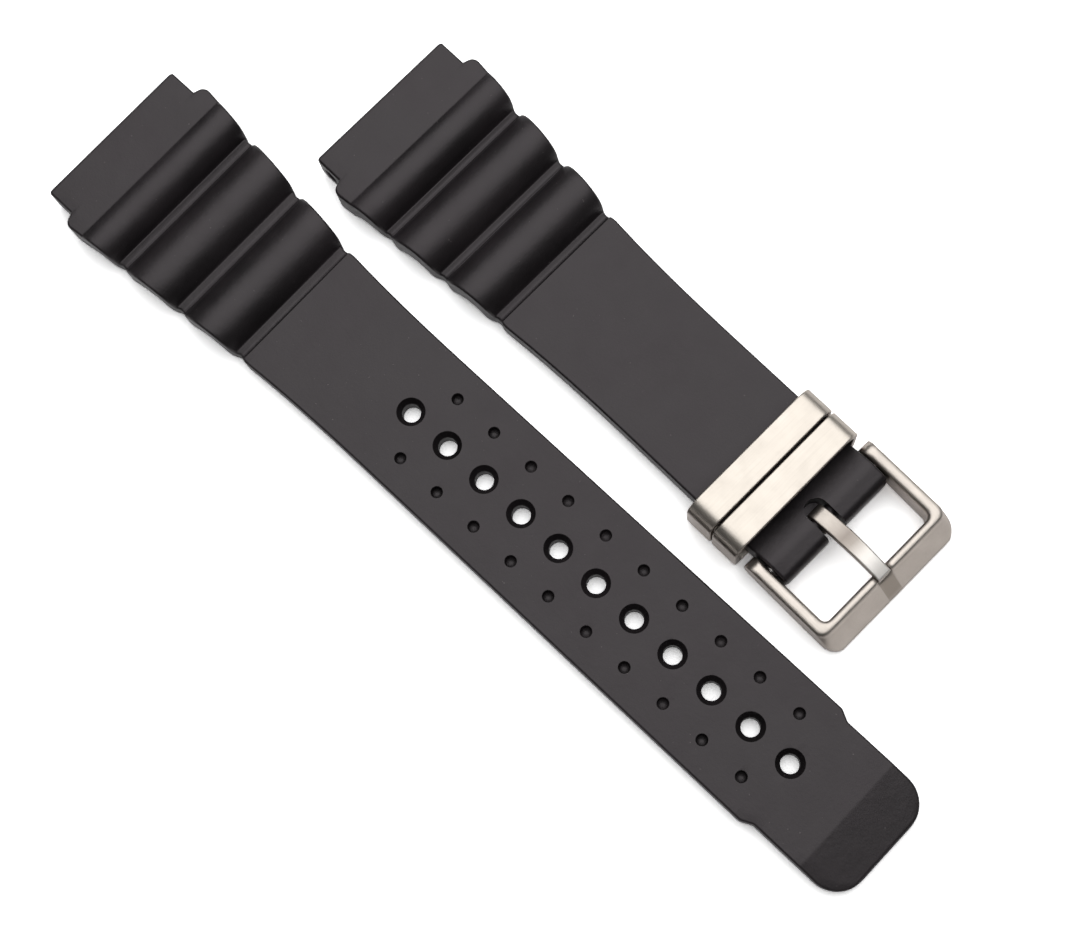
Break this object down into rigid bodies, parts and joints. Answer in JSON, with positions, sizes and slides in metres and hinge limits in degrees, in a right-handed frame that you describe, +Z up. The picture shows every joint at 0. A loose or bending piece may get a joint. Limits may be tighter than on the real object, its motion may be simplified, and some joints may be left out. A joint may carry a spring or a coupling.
{
  "type": "rubber dive watch strap",
  "caption": "Rubber dive watch strap in separate hole and buckle halves, with bellows ridges, recessed tang holes, steel pin buckle and sliding steel keepers.",
  "frame": {"origin": "on the surface that the strap lies on, below the middle of the laid-out pair", "axes": "+X from the lug ends towards the tail, along the long half; +Y from the long half to the short one; +Z up"},
  "size_m": [0.1316, 0.051, 0.0078],
  "materials": {
    "rubber": "matte charcoal rubber with a fine moulded grain",
    "brushed_steel": "satin stainless steel with a fine brushed grain",
    "bar_steel": "plain drawn stainless steel"
  },
  "bodies": {
    "strap_halves": {"long_strap": "rubber", "short_strap": "rubber", "bar_barrel": "bar_steel", "bar_spring": "bar_steel"},
    "buckle": {"buckle_frame": "brushed_steel"},
    "tang": {"buckle_tang": "brushed_steel"},
    "plunger_left": {"bar_plunger_left": "bar_steel"},
    "plunger_right": {"bar_plunger_right": "bar_steel"},
    "front_keeper": {"keeper_front": "brushed_steel"},
    "rear_keeper": {"keeper_rear": "brushed_steel"}
  },
  "joints": [
    {"name": "buckle_swing", "type": "hinge", "parent": "strap_halves", "child": "buckle", "pos_m": [0.03391, 0.01111, 0.00332], "axis": [-0.027, -0.9996, -0.0004], "range_deg": [-60, 20]},
    {"name": "tang_swing", "type": "hinge", "parent": "buckle", "child": "tang", "pos_m": [0.03391, 0.01111, 0.00332], "axis": [-0.027, -0.9996, -0.0004], "range_deg": [0, 55]},
    {"name": "front_keeper_slide", "type": "slide", "parent": "strap_halves", "child": "front_keeper", "axis": [0.9995, -0.027, 0.0146], "range_m": [-0.009, 0.0004]},
    {"name": "rear_keeper_slide", "type": "slide", "parent": "front_keeper", "child": "rear_keeper", "axis": [0.9995, -0.027, 0.0146], "range_m": [-0.009, 0.0002]},
    {"name": "plunger_left_push", "type": "slide", "parent": "strap_halves", "child": "plunger_left", "axis": [0.027, 0.9996, 0.0004], "range_m": [0, 0.001], "stiffness_N_per_m": 1500, "springref_m": -0.0015, "deforming": ["bar_spring"]},
    {"name": "plunger_right_push", "type": "slide", "parent": "strap_halves", "child": "plunger_right", "axis": [-0.027, -0.9996, -0.0004], "range_m": [0, 0.001], "stiffness_N_per_m": 1500, "springref_m": -0.0015, "deforming": ["bar_spring"]}
  ]
}
